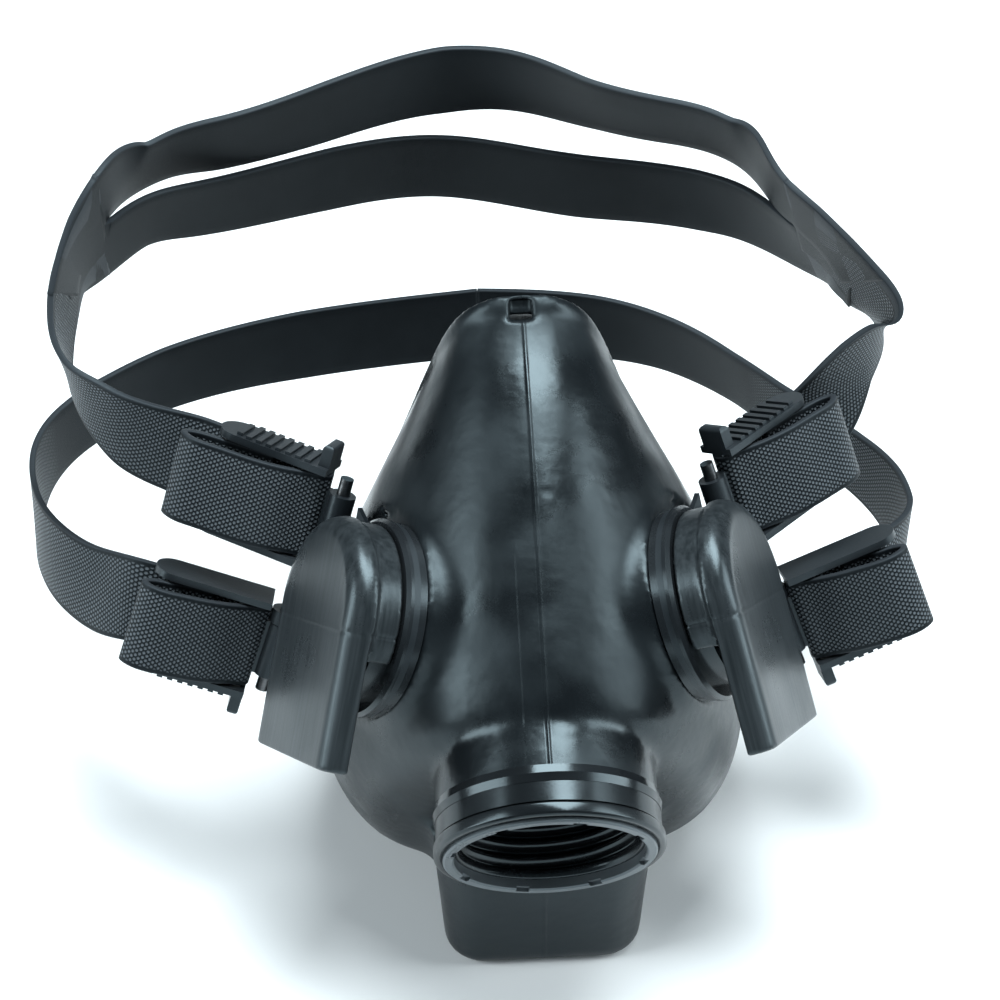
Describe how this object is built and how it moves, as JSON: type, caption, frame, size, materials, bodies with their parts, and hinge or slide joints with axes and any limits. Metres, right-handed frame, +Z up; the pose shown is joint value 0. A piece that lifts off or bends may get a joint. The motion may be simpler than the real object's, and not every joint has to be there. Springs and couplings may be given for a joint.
{
  "type": "half-mask respirator",
  "caption": "Rubber half-mask respirator facepiece with a threaded filter port, side exhalation valves under hooded covers, and buckled head and neck straps.",
  "frame": {"origin": "centre of the filter port's mouth", "axes": "+Z up with the mask standing on its chin, -Y the way the port looks, YZ the mid-plane of the mask"},
  "size_m": [0.2173, 0.1881, 0.143],
  "materials": {
    "facepiece_rubber": "satin moulded rubber",
    "port_plastic": "semi-gloss moulded plastic",
    "band_plastic": "glossy moulded band",
    "valve_rubber": "soft matte silicone",
    "valve_plastic": "semi-gloss moulded plastic",
    "cover_plastic": "satin moulded plastic with fine drag marks",
    "buckle_plastic": "matte moulded plastic",
    "pin_steel": "plain turned steel",
    "strap_rubber": "matte textured rubber strap"
  },
  "bodies": {
    "mask": {"facepiece": "facepiece_rubber", "port_insert": "port_plastic", "port_gasket": "valve_rubber", "port_clamp_band": "band_plastic", "port_collar": "port_plastic", "port_rim_ring": "port_plastic", "inhalation_valve_seat": "valve_plastic", "exhalation_seat_left": "valve_plastic", "exhalation_seat_right": "valve_plastic", "retaining_ring_left": "valve_plastic", "retaining_ring_right": "valve_plastic", "harness_bracket_left": "buckle_plastic", "harness_bracket_right": "buckle_plastic", "hinge_pin_upper_left": "pin_steel", "hinge_pin_upper_right": "pin_steel", "hinge_pin_lower_left": "pin_steel", "hinge_pin_lower_right": "pin_steel", "head_harness": "strap_rubber", "neck_strap": "strap_rubber"},
    "inhalation_disc": {"inhalation_valve_disc": "valve_rubber"},
    "exhalation_disc_left": {"exhalation_disc_left": "valve_rubber"},
    "exhalation_disc_right": {"exhalation_disc_right": "valve_rubber"},
    "valve_cover_left": {"valve_cover_left": "cover_plastic"},
    "valve_cover_right": {"valve_cover_right": "cover_plastic"},
    "buckle_upper_left": {"buckle_upper_left": "buckle_plastic", "strap_loop_upper_left": "strap_rubber"},
    "buckle_upper_right": {"buckle_upper_right": "buckle_plastic", "strap_loop_upper_right": "strap_rubber"},
    "buckle_lower_left": {"buckle_lower_left": "buckle_plastic", "strap_loop_lower_left": "strap_rubber"},
    "buckle_lower_right": {"buckle_lower_right": "buckle_plastic", "strap_loop_lower_right": "strap_rubber"}
  },
  "joints": [
    {"name": "inhalation_flap", "type": "slide", "parent": "mask", "child": "inhalation_disc", "axis": [0, 0.9336, 0.3584], "range_m": [0, 0.0015], "stiffness_N_per_m": 60},
    {"name": "exhalation_flap_left", "type": "slide", "parent": "mask", "child": "exhalation_disc_left", "axis": [-0.8905, -0.1763, 0.4195], "range_m": [0, 0.0015], "stiffness_N_per_m": 60},
    {"name": "exhalation_flap_right", "type": "slide", "parent": "mask", "child": "exhalation_disc_right", "axis": [0.8905, -0.1763, 0.4195], "range_m": [0, 0.0015], "stiffness_N_per_m": 60},
    {"name": "cover_pull_left", "type": "slide", "parent": "mask", "child": "valve_cover_left", "axis": [-0.8905, -0.1763, 0.4195], "range_m": [0, 0.012]},
    {"name": "cover_pull_right", "type": "slide", "parent": "mask", "child": "valve_cover_right", "axis": [0.8905, -0.1763, 0.4195], "range_m": [0, 0.012]},
    {"name": "buckle_swing_upper_left", "type": "hinge", "parent": "mask", "child": "buckle_upper_left", "pos_m": [-0.043, 0.0716, 0.0342], "axis": [0.3, 0.33, 0.895], "range_deg": [-35, 12]},
    {"name": "buckle_swing_upper_right", "type": "hinge", "parent": "mask", "child": "buckle_upper_right", "pos_m": [0.043, 0.0716, 0.0342], "axis": [0.3, -0.33, -0.895], "range_deg": [-25, 30]},
    {"name": "buckle_swing_lower_left", "type": "hinge", "parent": "mask", "child": "buckle_lower_left", "pos_m": [-0.0586, 0.0636, 0.0028], "axis": [0.3409, 0.3509, 0.8722], "range_deg": [-37, 12]},
    {"name": "buckle_swing_lower_right", "type": "hinge", "parent": "mask", "child": "buckle_lower_right", "pos_m": [0.0586, 0.0636, 0.0028], "axis": [0.3409, -0.3509, -0.8722], "range_deg": [-33, 13]}
  ]
}
